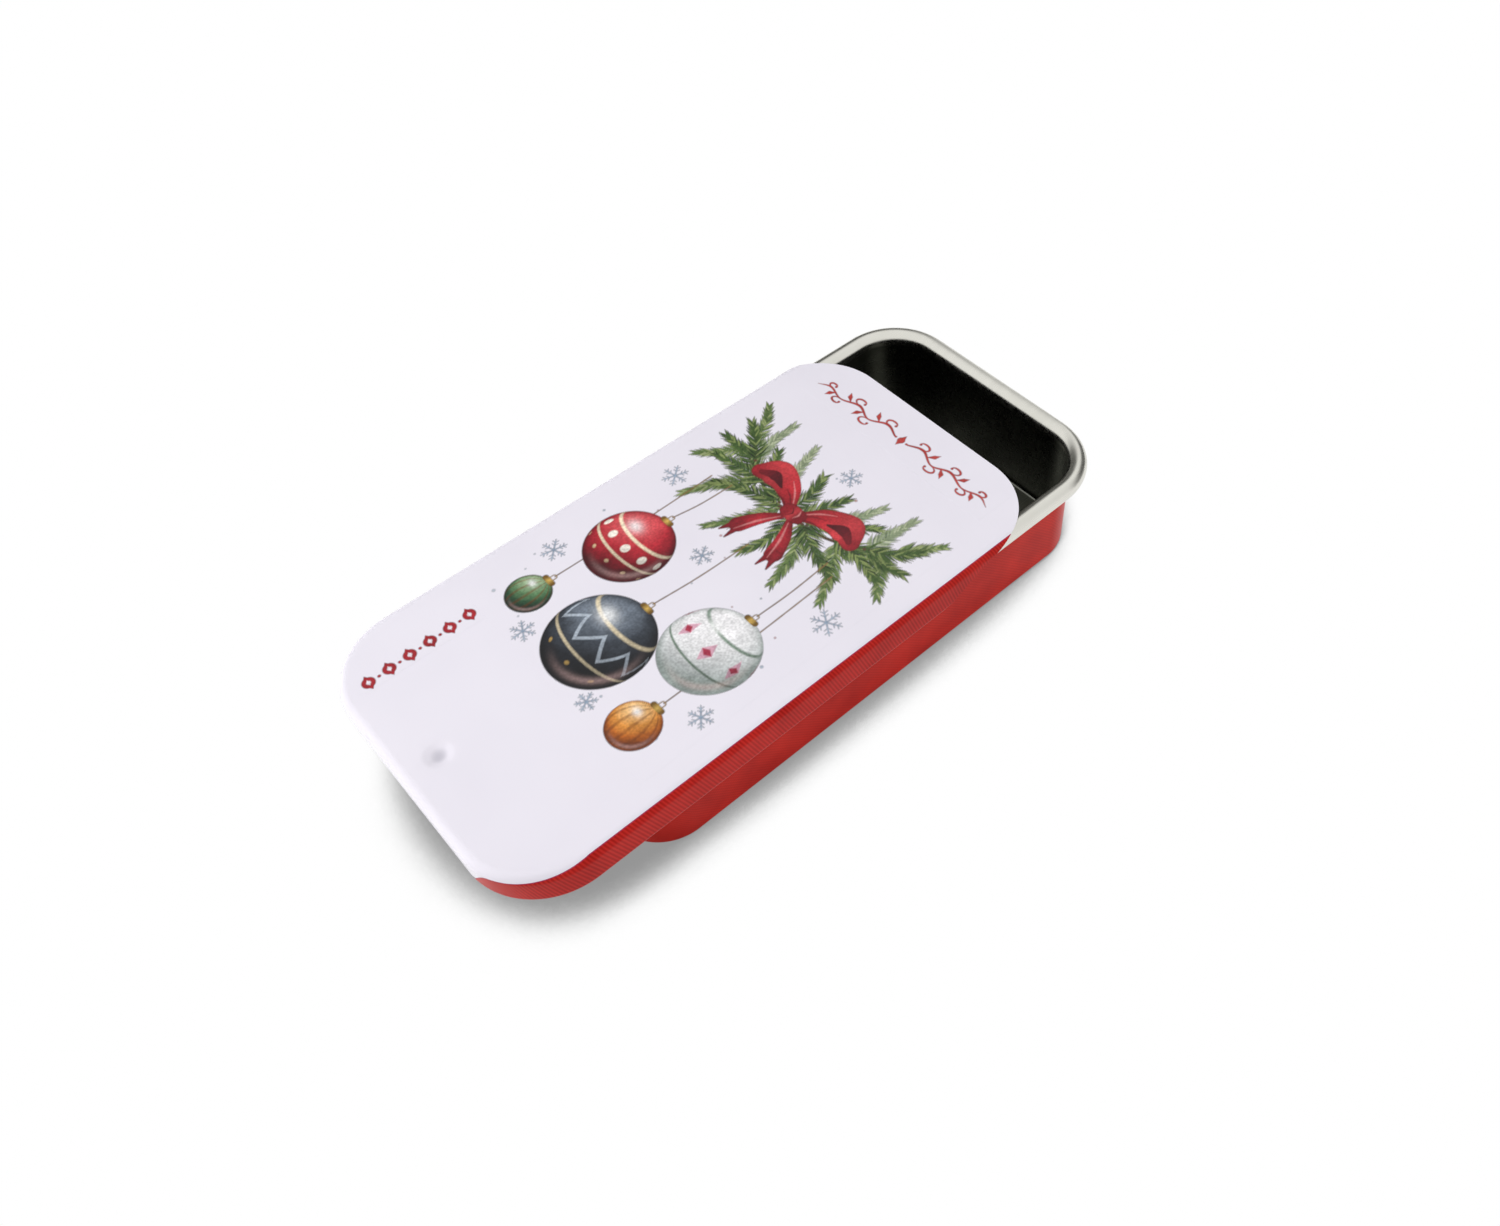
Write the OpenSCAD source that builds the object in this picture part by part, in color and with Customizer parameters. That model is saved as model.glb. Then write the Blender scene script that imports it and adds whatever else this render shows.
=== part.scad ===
// Small slide-top tin: a drawn tray with a curled rim, and a lid whose hemmed skirt slides along that rim.
// X runs along the tin, towards the end that the lid uncovers. Y runs across it and Z is up.
// The origin is the middle of the tray's underside. Sizes are in millimetres.

/* [Tinplate] */
// Thickness of the sheet that both pieces are drawn from
sheet = 0.25; // [0.2:0.01:0.3]
// Gap left between a rolled edge's end and the wall beside it
roll_end_gap = 0.12; // [0.08:0.01:0.15]

/* [Base tray] */
// Length over the curled rim
rim_length = 60; // [50:1:120]
// Width over the curled rim
rim_width = 32; // [26:1:80]
// Radius of the rim's corners, seen from above
rim_corner_r = 7; // [5:0.5:12]
// Height from the table to the top of the curled rim
tray_height = 11.6; // [8:0.05:30]
// Outside radius of the bend between floor and wall
floor_bend_r = 0.6; // [0.4:0.05:1.5]
// Diameter of the hollow curl round the rim
curl_d = 1.9; // [1.4:0.05:2.4]

/* [Slide lid] */
// Clear gap between the rim and the lid's skirt, on each side
side_gap = 0.25; // [0.1:0.05:0.5]
// Gap between the rim and the lid's top, as the lid slides
ride_gap = 0.3; // [0.15:0.05:0.6]
// Gap between the curl and the hem that grips under it
hem_gap = 0.15; // [0.05:0.05:0.3]
// Diameter of the rolled hem along the skirt's foot
hem_d = 1.2; // [0.8:0.05:1.4]
// Outside radius of the bend between the lid's top and its skirt
lid_bend_r = 0.9; // [0.5:0.05:1.2]
// How far the lid's open edge stops short of the rim's end when the tin is shut
end_short = 0.15; // [0:0.05:1]
// Length over which each end of the skirt slants down to the hem
slant_run = 6.8; // [3:0.1:15]
// Distance by which the lid stands open
open_by = 10.2; // [0:0.1:30]

/* [Catch dimple] */
// Diameter of the dimple pressed into the lid's top
dimple_d = 2.8; // [2:0.1:3.2]
// Distance from the closed end of the skirt to the dimple's centre
dimple_inset = 3.6; // [3.4:0.1:6]
// Gap by which the dimple's underside passes over the curl
dimple_pass_gap = 0.05; // [0.02:0.01:0.1]

/* [Hidden] */
$fn = 96;

// One overrun serves every cut, and one lap serves every join of a flat with a bend
overrun = sheet;
lap = sheet;

// The rim's curl
curl_r = curl_d / 2;
curl_end_angle = acos((curl_r - sheet - roll_end_gap) / curl_r);

// The lid follows the rim at the side gap, and its hem sits under the curl
lid_reach = side_gap + sheet;
lid_width = rim_width + 2 * lid_reach;
lid_corner_r = rim_corner_r + lid_reach;
lid_closed_x = -rim_length / 2 - lid_reach;
lid_open_x = rim_length / 2 - end_short;
lid_under = tray_height + ride_gap;
lid_top = lid_under + sheet;
lid_bend_z = lid_top - lid_bend_r;
hem_r = hem_d / 2;
hem_top = tray_height - curl_d - hem_gap;
skirt_foot = hem_top - hem_d;
hem_end_angle = acos((hem_r - sheet - roll_end_gap) / hem_r);

// The slanted end of the skirt, with the small tooth that the cutting tool leaves.
// Each pair is a share of the slant's run, from the open end, and of the skirt's height.
slant_shares = [[0, 1], [0.13, 0.98], [0.15, 0.84], [0.23, 0.89], [1, 0]];
slant_top_x = lid_open_x - lid_corner_r;

// The dimple is the cap of a sphere that just sinks through the ride gap
dimple_depth = ride_gap - dimple_pass_gap;
dimple_r = (dimple_depth ^ 2 + (dimple_d / 2) ^ 2) / (2 * dimple_depth);
dimple_x = lid_closed_x + dimple_inset;
dimple_z = lid_top - dimple_depth + dimple_r;

// Rounded rectangle between two places along X
module rounded_plan(from_x, to_x, width, corner_r) {
    length = to_x - from_x;
    translate([(from_x + to_x) / 2, 0]) {
        square([length, width - 2 * corner_r], center = true);
        square([length - 2 * corner_r, width], center = true);
        for (side_x = [-1, 1], side_y = [-1, 1])
            translate([side_x * (length / 2 - corner_r), side_y * (width / 2 - corner_r)])
                circle(r = corner_r);
    }
}

// Wedge with its point at the centre, from one angle to another
module wedge(radius, from_angle, to_angle) {
    polygon([
        [0, 0],
        radius * [cos(from_angle), sin(from_angle)],
        radius * [cos(to_angle), sin(to_angle)]
    ]);
}

// Ring of sheet metal
module sheet_ring(outer_r) {
    difference() {
        circle(r = outer_r);
        circle(r = outer_r - sheet);
    }
}

// Quarter of a ring of sheet metal, in the quadrant that starts at an angle
module sheet_bend(outer_r, from_angle) {
    intersection() {
        sheet_ring(outer_r);
        rotate(from_angle) square(outer_r);
    }
}

// Ring of sheet metal with the slot that its rolled edge leaves
module sheet_roll(outer_r, slot_from, slot_to) {
    difference() {
        sheet_ring(outer_r);
        wedge(2 * outer_r, slot_from, slot_to);
    }
}

// Carries an outline along a straight of the long side. Its x points outwards and its y up.
module along_side(from_x, to_x, width) {
    translate([from_x, width / 2, 0])
        rotate([90, 0, 90])
            linear_extrude(to_x - from_x) children();
}

// Carries an outline across the end at the far side of X zero
module across_end(end_x, width) {
    translate([end_x, width / 2, 0])
        rotate([90, 0, 0])
            linear_extrude(width) children();
}

// Carries an outline round one corner
module round_corner(centre_x, centre_y, corner_r) {
    translate([centre_x, centre_y, 0])
        rotate_extrude(angle = 90)
            translate([corner_r, 0]) children();
}

// Tray's section from the floor's edge to the curl, drawn inwards from the rim's outer edge
module tray_section() {
    wall_out = sheet - curl_d;
    translate([wall_out - floor_bend_r - 2 * lap, 0]) square([2 * lap, sheet]);
    translate([-curl_d, floor_bend_r]) square([sheet, tray_height - curl_r - floor_bend_r]);
    translate([wall_out - floor_bend_r, floor_bend_r]) sheet_bend(floor_bend_r, -90);
    translate([-curl_r, tray_height - curl_r])
        sheet_roll(curl_r, 180, 180 + curl_end_angle);
}

// Drawn tray: flat floor, upright wall and a rim curled outwards
module base_tray() {
    centre_x = rim_length / 2 - rim_corner_r;
    centre_y = rim_width / 2 - rim_corner_r;
    floor_inset = curl_d - sheet + floor_bend_r + lap;
    floor_x = rim_length / 2 - floor_inset;
    color("#b4302c")
    union() {
        linear_extrude(sheet)
            rounded_plan(-floor_x, floor_x, rim_width - 2 * floor_inset, rim_corner_r - floor_inset);
        for (far_x = [0, 1]) mirror([far_x, 0, 0]) {
            across_end(rim_length / 2, 2 * centre_y) tray_section();
            for (far_y = [0, 1]) mirror([0, far_y, 0])
                round_corner(centre_x, centre_y, rim_corner_r) tray_section();
        }
        for (far_y = [0, 1]) mirror([0, far_y, 0])
            along_side(-centre_x, centre_x, rim_width) tray_section();
    }
}

// Lid's section from the top's edge to the hem, drawn inwards from the skirt's outer face
module skirt_section() {
    translate([-lid_bend_r - 2 * lap, lid_under]) square([2 * lap, sheet]);
    translate([-lid_bend_r, lid_bend_z]) sheet_bend(lid_bend_r, 0);
    translate([-sheet, skirt_foot + hem_r]) square([sheet, lid_bend_z - skirt_foot - hem_r]);
    translate([-hem_r, skirt_foot + hem_r])
        sheet_roll(hem_r, 0, hem_end_angle);
}

// Skirt round the closed end and along both long sides
module skirt() {
    centre_x = -lid_closed_x - lid_corner_r;
    centre_y = lid_width / 2 - lid_corner_r;
    mirror([1, 0, 0]) {
        across_end(-lid_closed_x, 2 * centre_y) skirt_section();
        for (far_y = [0, 1]) mirror([0, far_y, 0])
            round_corner(centre_x, centre_y, lid_corner_r) skirt_section();
    }
    for (far_y = [0, 1]) mirror([0, far_y, 0])
        along_side(-centre_x, lid_open_x, lid_width) skirt_section();
}

// What is trimmed off round the open corners
module open_corner_trim() {
    corner_y = lid_width / 2 - lid_corner_r;
    for (far_y = [0, 1]) mirror([0, far_y, 0])
        translate([slant_top_x, corner_y, skirt_foot - overrun])
            linear_extrude(lid_top - skirt_foot + 2 * overrun)
                difference() {
                    square(lid_corner_r + overrun);
                    circle(r = lid_corner_r);
                }
}

// What is cut off below the slanted ends of the skirt
module slant_trim() {
    low = skirt_foot - overrun;
    far = lid_open_x + overrun;
    edge = [for (p = slant_shares)
        [slant_top_x - p[0] * slant_run, skirt_foot + p[1] * (lid_bend_z - skirt_foot)]];
    translate([0, lid_width / 2 + overrun, 0])
        rotate([90, 0, 0])
            linear_extrude(lid_width + 2 * overrun)
                polygon(concat(edge, [[slant_top_x - slant_run, low], [far, low], [far, lid_bend_z]]));
}

// Flat top, from its lap with the bends to the open end's bare edge
module top_plate() {
    flat_inset = lid_bend_r + lap;
    flat_x = lid_closed_x + flat_inset;
    flat_width = lid_width - 2 * flat_inset;
    translate([0, 0, lid_under])
        linear_extrude(sheet) {
            rounded_plan(flat_x, 0, flat_width, lid_corner_r - flat_inset);
            translate([flat_x + lid_corner_r, -flat_width / 2])
                square([lid_open_x - flat_x - lid_corner_r, flat_width]);
        }
}

// Underside of the dimple, which sinks in behind the curl when the tin is shut
module dimple_bulge() {
    intersection() {
        translate([dimple_x, 0, dimple_z]) sphere(r = dimple_r + sheet);
        translate([dimple_x, 0, lid_under - 2 * dimple_depth])
            cylinder(d = 2 * dimple_d, h = 2 * dimple_depth + sheet);
    }
}

// Lid: flat top with rounded bends, and a hemmed skirt on three sides
module slide_lid() {
    color("#ebe8f0")
    translate([-open_by, 0, 0])
        difference() {
            union() {
                top_plate();
                skirt();
                dimple_bulge();
            }
            open_corner_trim();
            slant_trim();
            translate([dimple_x, 0, dimple_z]) sphere(r = dimple_r);
        }
}

base_tray();
slide_lid();
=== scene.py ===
"""Slide-top needle tin: a drawn red tray with a bare curled rim, and a white lid with a red, hemmed skirt."""
import bmesh
import bpy
import numpy as np
from mathutils import Matrix, Vector


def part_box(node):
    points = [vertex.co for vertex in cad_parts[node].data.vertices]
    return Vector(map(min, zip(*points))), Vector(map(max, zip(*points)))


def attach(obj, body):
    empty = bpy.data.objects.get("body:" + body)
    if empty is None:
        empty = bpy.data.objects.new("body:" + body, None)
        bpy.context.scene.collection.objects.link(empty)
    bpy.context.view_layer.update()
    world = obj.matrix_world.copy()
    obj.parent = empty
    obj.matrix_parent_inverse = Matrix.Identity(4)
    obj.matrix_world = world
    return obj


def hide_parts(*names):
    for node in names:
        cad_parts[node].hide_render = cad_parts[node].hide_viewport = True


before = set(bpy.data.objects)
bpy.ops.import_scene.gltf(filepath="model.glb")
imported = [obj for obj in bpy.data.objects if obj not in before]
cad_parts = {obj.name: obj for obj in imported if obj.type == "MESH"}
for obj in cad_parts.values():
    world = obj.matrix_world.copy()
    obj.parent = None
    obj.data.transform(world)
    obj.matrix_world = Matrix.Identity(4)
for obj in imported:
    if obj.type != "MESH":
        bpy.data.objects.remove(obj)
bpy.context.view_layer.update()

# Sizes are in millimetres, and a mesh is turned to metres when it is made
MM = 0.001

# What the frame gives
tray_low, tray_high = (np.array(corner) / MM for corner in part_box("base_tray"))
lid_low, lid_high = (np.array(corner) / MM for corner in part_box("slide_lid"))
LID_CLOSED_X, LID_OPEN_X = lid_low[0], lid_high[0]
LID_FOOT, LID_TOP = lid_low[2], lid_high[2]
RIM_TOP = tray_high[2]

# The tinplate, the enamel on it and the ink on that
SHEET = 0.25
ENAMEL = 0.02
INK = 0.01

# The tray's section
RIM_CORNER_R = 7.0
CURL_R = 0.95
FLOOR_BEND_R = 0.6
CURL_TURN = 307.6
TRAY_ENAMEL_TURN = 28.0

# The lid's section
LID_CORNER_R = 7.5
LID_BEND_R = 0.9
HEM_R = 0.6
HEM_TURN = 292.5
HEM_RUNS_OUT = 0.8

# The lid's ends, as shares of the slant's run and of the skirt's height
SLANT_RUN = 6.8
SLANT_SHARES = ((0.0, 1.0), (0.13, 0.98), (0.15, 0.84), (0.23, 0.89), (1.0, 0.0))

# The catch dimple, a wide bowl with a steeper one in its middle that makes up a share of its depth
DIMPLE_CENTRE = Vector((LID_CLOSED_X + 3.6, 0, LID_TOP)) * MM
DIMPLE_R = 2.1
DIMPLE_CORE_R = 1.45
DIMPLE_CORE_SHARE = 0.85
DIMPLE_DEPTH = 0.25
DIMPLE_THINNING = 0.12

# The radii between which the painted shade in the dimple's core fades out
DIMPLE_PAINTED_SHADE_R = (0.3, 0.9)

# Where the white print meets the red one, down from the flat's edge. The sheet was printed off towards the
# closed end and the far side, and at the closed end the white covers most of the skirt.
PRINT_EDGE = 0.72
PRINT_SHIFT = (-0.76, 0.22)
PRINT_CLOSED_END = 2.6

# How high the ripples in the varnish and the streaks in the rolled sheet are drawn
RIPPLE_HEIGHT = 0.02
STREAK_HEIGHT = 0.01

# The table's shadow: how far off it looks for the tin, how far from the tin's long axis it is drawn, the ways
# up of its looks, how open a place is where the shadow is darkest and where it ends, and its darkest level
SHADOW_LOOK = 60
SHADOW_REACH = 28
SHADOW_LEANS = ((0.44, 0, 1), (-0.44, 0, 1), (0.4, -0.4, 1))
SHADOW_OPENNESS = (0.4, 0.56)
SHADOW_DARKEST = 0.3

# The room: its level as a light, the ways to its two greyer walls, and the limits of a wall's soft edge
ROOM_LEVEL = 0.39
ROOM_WALLS = ((0.35, 0.92, 0.2), (0.98, -0.15, 0.1))
WALL_EDGE = (0.74, 0.9)

# The middle of the tin, which the lamps face, and half the table's width
TIN_MIDDLE = (-5, 0, 8)
TABLE_HALF = 400

# The camera, found from the tin's own edges in the photograph
CAMERA_AZIMUTH = -42.09
CAMERA_ELEVATION = 52.16
CAMERA_ROLL = -1.42
CAMERA_TARGET = (4.44, -10.56, 5.0)
CAMERA_DISTANCE = 118.62
PHOTO_SIZE = (1500, 1226)
FOCAL_PIXELS = 1219.7
AXIS_PIXEL = (893.9, 604.5)


def linear(code):
    """A hex colour as written in sRGB, turned to the linear values that a shader takes."""
    parts = np.array([int(code[i:i + 2], 16) for i in (1, 3, 5)]) / 255
    return np.where(parts <= 0.04045, parts / 12.92, ((parts + 0.055) / 1.055) ** 2.4)


# Sections


def straight(start, end, normal, count):
    """Points in even steps from start to end, which all face along normal."""
    share = np.linspace(0, 1, count)[:, None]
    points = np.array(start) * (1 - share) + np.array(end) * share
    return points, np.tile(np.array(normal, float), (count, 1))


def arc(centre, radius, start, turn, hollow=False, step=5.0):
    """Points round centre from the angle start through the angle turn, in degrees.

    They face away from the centre, or towards it where the sheet's outer face is the hollow one.
    """
    angle = np.radians(start + np.linspace(0, turn, int(abs(turn) / step) + 2))
    spoke = np.stack([np.cos(angle), np.sin(angle)], 1)
    return np.array(centre) + radius * spoke, -spoke if hollow else spoke


def walked(line):
    """How far along a line of points each of them is."""
    return np.concatenate([[0.0], np.cumsum(np.linalg.norm(np.diff(line, axis=0), axis=1))])


def section(*runs):
    """Joins runs into one section: its points, its outward normals and the distance along it."""
    points = np.concatenate([run[0] for run in runs])
    normals = np.concatenate([run[1] for run in runs])
    return points, normals, walked(points)


def below(shape, distance, depth):
    """Out and up coordinates at a distance along a section, moved in by depth along its normal."""
    points, normals, along = shape
    sunk = points - depth * normals
    return np.interp(distance, along, sunk[:, 0]), np.interp(distance, along, sunk[:, 1])


tray_wall_out = RIM_CORNER_R - 2 * CURL_R + SHEET
tray_floor_out = tray_wall_out - FLOOR_BEND_R
curl_centre = (RIM_CORNER_R - CURL_R, RIM_TOP - CURL_R)
TRAY_SECTION = section(
    straight((0, 0), (tray_floor_out, 0), (0, -1), 12),
    arc((tray_floor_out, FLOOR_BEND_R), FLOOR_BEND_R, -90, 90),
    straight((tray_wall_out, FLOOR_BEND_R), (tray_wall_out, RIM_TOP - CURL_R), (1, 0), 24),
    arc(curl_centre, CURL_R - SHEET, 180, -CURL_TURN, hollow=True),
)

lid_flat_out = LID_CORNER_R - LID_BEND_R
LID_BEND_Z = LID_TOP - LID_BEND_R
HEM_Z = LID_FOOT + HEM_R
LID_SECTION = section(
    straight((0, LID_TOP), (lid_flat_out, LID_TOP), (0, 1), 45),
    arc((lid_flat_out, LID_BEND_Z), LID_BEND_R, 90, -90),
    straight((LID_CORNER_R, LID_BEND_Z), (LID_CORNER_R, HEM_Z), (1, 0), 8),
    arc((LID_CORNER_R - HEM_R, HEM_Z), HEM_R, 0, -HEM_TURN, step=8.0),
)


# Meshes


def put_in(name, data):
    """A new object in the scene, at the origin, with its data."""
    made = bpy.data.objects.new(name, data)
    bpy.context.scene.collection.objects.link(made)
    return made


def add_object(name, points, faces, material):
    """A mesh object at the origin, in metres, from points in millimetres."""
    mesh = bpy.data.meshes.new(name)
    mesh.from_pydata((points * MM).tolist(), [], faces)
    mesh.materials.append(material)
    return put_in(name, mesh)


def strip(first, second):
    """Quads between two lines of points of the same length."""
    return np.stack([first[:-1], first[1:], second[1:], second[:-1]], 1).tolist()


def shell(name, outer, inner, chart, material, body, slot, closed=False, capped=False):
    """A sheet with thickness, from its outer and inner grids of points, closed along all its edges.

    Rows run along the section and columns along the path. closed joins the last column to the first, and
    capped fills the first row with a flat face. chart holds two coordinates for each point, in millimetres
    along the path and along the section, kept as the UV map called Sheet.
    """
    rows, columns = outer.shape[:2]
    outside = np.arange(rows * columns).reshape(rows, columns)
    inside = outside + rows * columns
    faces = []
    if capped:
        faces += [outside[0, ::-1].tolist(), inside[0].tolist()]
        if not closed:
            faces += strip(outside[0, [-1, 0]], inside[0, [-1, 0]])
    else:
        faces += strip(outside[0, ::-1], inside[0, ::-1])
    if closed:
        outside = np.concatenate([outside, outside[:, :1]], 1)
        inside = np.concatenate([inside, inside[:, :1]], 1)
    else:
        faces += strip(outside[:, 0], inside[:, 0]) + strip(outside[::-1, -1], inside[::-1, -1])
    faces += strip(outside[-1], inside[-1])
    for grid, order in ((outside, slice(None)), (inside, slice(None, None, -1))):
        quads = np.stack([grid[:-1, 1:], grid[1:, 1:], grid[1:, :-1], grid[:-1, :-1]], 2).reshape(-1, 4)
        faces += quads[:, order].tolist()
    made = add_object(name, np.concatenate([outer.reshape(-1, 3), inner.reshape(-1, 3)]), faces, material)
    mesh = made.data
    corner_points = np.zeros(len(mesh.loops), int)
    mesh.loops.foreach_get("vertex_index", corner_points)
    layer = mesh.uv_layers.new(name="Sheet")
    chart = np.tile(chart.reshape(-1, 2), (2, 1))[corner_points]
    layer.data.foreach_set("uv", chart.astype(np.float32).ravel())
    work = bmesh.new()
    work.from_mesh(mesh)
    bmesh.ops.remove_doubles(work, verts=work.verts, dist=0.0005 * MM)
    work.to_mesh(mesh)
    work.free()
    mesh.shade_smooth()
    mesh.set_sharp_from_angle(angle=np.radians(35))
    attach(made, body)
    return made


# Materials


def add(tree, kind, links=None, **settings):
    """Adds a node: settings are its own properties, and links gives sockets a value or what feeds them."""
    made = tree.nodes.new(kind)
    for key, value in settings.items():
        setattr(made, key, value)
    for key, value in (links or {}).items():
        if isinstance(value, bpy.types.NodeSocket):
            tree.links.new(value, made.inputs[key])
        else:
            made.inputs[key].default_value = value
    return made


def shade(code):
    """A hex colour as the four linear values of a shader's socket."""
    return (*linear(code).tolist(), 1.0)


def repeats(size):
    """How many times a pattern of a size in millimetres repeats in a metre, which is a texture's scale."""
    return 1 / (size * MM)


def new_finish(name):
    """An empty material with its shader, ready for its own nodes."""
    material = bpy.data.materials.new(name)
    material.use_nodes = True
    tree = material.node_tree
    return material, tree, tree.nodes["Principled BSDF"]


def work_out(tree, operation, *values):
    """A number worked out from others, which are sockets or plain numbers."""
    return add(tree, "ShaderNodeMath", dict(enumerate(values)), operation=operation).outputs[0]


def rescale(tree, value, limits, results=(0.0, 1.0), way="LINEAR"):
    """A value taken from between two limits to between two results, and held there."""
    links = dict(enumerate((value, *limits, *results)))
    return add(tree, "ShaderNodeMapRange", links, interpolation_type=way).outputs[0]


def blend(tree, share, first, second):
    """The colour a share of the way from the first to the second. Each is a hex code or a socket."""
    ends = (shade(end) if isinstance(end, str) else end for end in (first, second))
    return add(tree, "ShaderNodeMix", dict(zip((0, 6, 7), (share, *ends))), data_type="RGBA").outputs[2]


def noise(tree, place, size, detail):
    """A cloudy value from 0 to 1, whose clouds are of a size in millimetres."""
    links = {"Vector": place, "Scale": repeats(size), "Detail": detail}
    return add(tree, "ShaderNodeTexNoise", links).outputs["Fac"]


def raise_surface(tree, shader, height, strength, distance):
    """Bumps a surface by a height from 0 to 1, where 1 stands for a distance in millimetres."""
    bump = add(tree, "ShaderNodeBump", {"Height": height, "Strength": strength, "Distance": distance * MM})
    tree.links.new(bump.outputs[0], shader.inputs["Normal"])


def sheet_chart(tree):
    """Two sockets, in millimetres: how far along the path and how far along the section a place is."""
    split = add(tree, "ShaderNodeSeparateXYZ", {0: add(tree, "ShaderNodeUVMap", uv_map="Sheet").outputs[0]})
    return split.outputs["X"], split.outputs["Y"]


def red_enamel(name, dark, light, line_pitch, line_lean, line_depth, across_pitch):
    """Red offset ink under thin varnish on tinplate: satin, finely lined or dotted by its printing screen.

    The share of the light red is a cloudy noise plus a wave along the sheet. Where across_pitch is given the
    wave is multiplied by a second one across it, which turns the lines into dots. Within 0.1 mm of the white
    print the red shifts to a thin purple fringe, where the two inks overlap.
    """
    material, tree, shader = new_finish(name)
    along, across = sheet_chart(tree)
    lean = work_out(tree, "MULTIPLY_ADD", across, line_lean, along)
    wave = work_out(tree, "SINE", work_out(tree, "MULTIPLY", lean, 2 * np.pi / line_pitch))
    if across_pitch:
        second = work_out(tree, "SINE", work_out(tree, "MULTIPLY", across, 2 * np.pi / across_pitch))
        wave = work_out(tree, "MULTIPLY", wave, second)
    place = add(tree, "ShaderNodeTexCoord").outputs["Object"]
    depth = work_out(tree, "MULTIPLY_ADD", wave, line_depth, noise(tree, place, 3.85, 3))
    fringe = rescale(tree, across, (0.02, 0.12), (0.6, 0.0))
    overlap = blend(tree, fringe, blend(tree, depth, dark, light), "#8f4f86")
    tree.links.new(overlap, shader.inputs["Base Color"])
    shader.inputs["Roughness"].default_value = 0.32
    # The varnish on the red is thin and more matt than on the white, so it mirrors little of the white room
    shader.inputs["Specular IOR Level"].default_value = 0.05
    raise_surface(tree, shader, noise(tree, place, 1.11, 1), 0.12, RIPPLE_HEIGHT)
    return material


def white_enamel():
    """White baked enamel under thin varnish: faintly cool and cloudy, with the inks of the picture on it.

    The attribute called ink holds the print's colour, and the one called cover its share of the surface. The
    print is grainy, as a noise of about 0.2 mm moves the ink's value. A few dark specks of dust are baked in:
    each cell of about 10 mm holds one point, and one such point in seven is dark, out to about 0.1 mm.
    """
    material, tree, shader = new_finish("VarnishedWhiteEnamel")
    place = add(tree, "ShaderNodeTexCoord").outputs["Object"]
    white = blend(tree, noise(tree, place, 11.1, 2), "#e7e3ed", "#f0ecf5")
    # Painted shade: the dimple's core is drawn in a greyer white, as the light alone leaves it too pale
    core = add(tree, "ShaderNodeVectorMath", {0: place, 1: DIMPLE_CENTRE}, operation="DISTANCE")
    painted_shade_limits = [radius * MM for radius in DIMPLE_PAINTED_SHADE_R]
    painted_shade = rescale(tree, core.outputs["Value"], painted_shade_limits, (0.8, 0.0), "SMOOTHSTEP")
    white = blend(tree, painted_shade, white, "#c2bfca")
    dust = add(tree, "ShaderNodeTexVoronoi", {"Vector": place, "Scale": repeats(9.524)}, feature="F1")
    chance = add(tree, "ShaderNodeSeparateColor", {0: dust.outputs["Color"]})
    few = work_out(tree, "GREATER_THAN", chance.outputs[0], 0.86)
    near = rescale(tree, dust.outputs["Distance"], (0.009, 0.015), (0.75, 0.0))
    dusty = blend(tree, work_out(tree, "MULTIPLY", few, near), white, "#4a4a50")
    ink, cover = (add(tree, "ShaderNodeAttribute", attribute_name=name, attribute_type="GEOMETRY").outputs
                  for name in ("ink", "cover"))
    value = rescale(tree, noise(tree, place, 0.2222, 0), (0.3, 0.7), (0.86, 1.1))
    grainy = add(tree, "ShaderNodeVectorMath", {0: ink["Color"], "Scale": value}, operation="SCALE")
    printed = blend(tree, cover["Fac"], dusty, grainy.outputs[0])
    tree.links.new(printed, shader.inputs["Base Color"])
    shader.inputs["Roughness"].default_value = 0.22
    # The lid mirrors little in the photograph, so its varnish is a thin one too
    shader.inputs["Specular IOR Level"].default_value = 0.35
    raise_surface(tree, shader, noise(tree, place, 1.25, 1), 0.1, RIPPLE_HEIGHT)
    return material


def bare_tinplate(name, painted_shade_until):
    """Rolled tinplate: a warm grey, softened mirror with faint streaks along the rolling direction.

    Where a distance is given, the sheet up to it along the section, over the tray's inside, is drawn in darker
    greys as painted shade, and beyond it, where the rim is curled, it keeps its own bright tone. The streaks
    are about 17 mm long. Real ones are too fine to show, so they are drawn coarser, about 0.7 mm apart.
    """
    material, tree, shader = new_finish(name)
    place = add(tree, "ShaderNodeTexCoord").outputs["Object"]
    streaks = [repeats(size) for size in (16.67, 0.7143, 0.7143)]
    rolled = add(tree, "ShaderNodeMapping", {"Vector": place, "Scale": streaks})
    grain = add(tree, "ShaderNodeTexNoise", {"Vector": rolled.outputs[0], "Scale": 1.0, "Detail": 3})
    smudge = noise(tree, place, 4.167, 4)
    tone = blend(tree, smudge, "#d6d5cc", "#e6e4dd")
    if painted_shade_until:
        bright = rescale(tree, sheet_chart(tree)[1], (painted_shade_until - 0.5, painted_shade_until + 0.4))
        # Painted shade: inside the tray the tinplate is drawn in darker greys, and only the curled rim keeps
        # its own tone
        tone = blend(tree, bright, blend(tree, smudge, "#4b4c46", "#8b8c84"), tone)
    tree.links.new(tone, shader.inputs["Base Color"])
    shader.inputs["Metallic"].default_value = 1.0
    dull = rescale(tree, grain.outputs["Fac"], (0.3, 0.7), (0.24, 0.32))
    tree.links.new(dull, shader.inputs["Roughness"])
    raise_surface(tree, shader, grain.outputs["Fac"], 0.15, STREAK_HEIGHT)
    return material


# The real screen's lines are about 0.25 mm apart, too fine to show, so they are drawn a little coarser
SKIRT_RED = red_enamel("LinedRedEnamel", "#9c1712", "#d12f28", 0.34, 0.35, 0.28, None)
TRAY_RED = red_enamel("DottedRedEnamel", "#a0150f", "#e03226", 0.42, 0.0, 0.2, 0.42)
WHITE = white_enamel()
curl_start = TRAY_SECTION[2][-1] - np.radians(CURL_TURN) * (CURL_R - SHEET)
LID_TINPLATE = bare_tinplate("BrightTinplate", None)
# The tray's tinplate carries painted shade over its inside, up to where the rim's curl starts
TRAY_TINPLATE = bare_tinplate("TinplateWithPaintedShadeInside", curl_start)


# The tray


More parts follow.
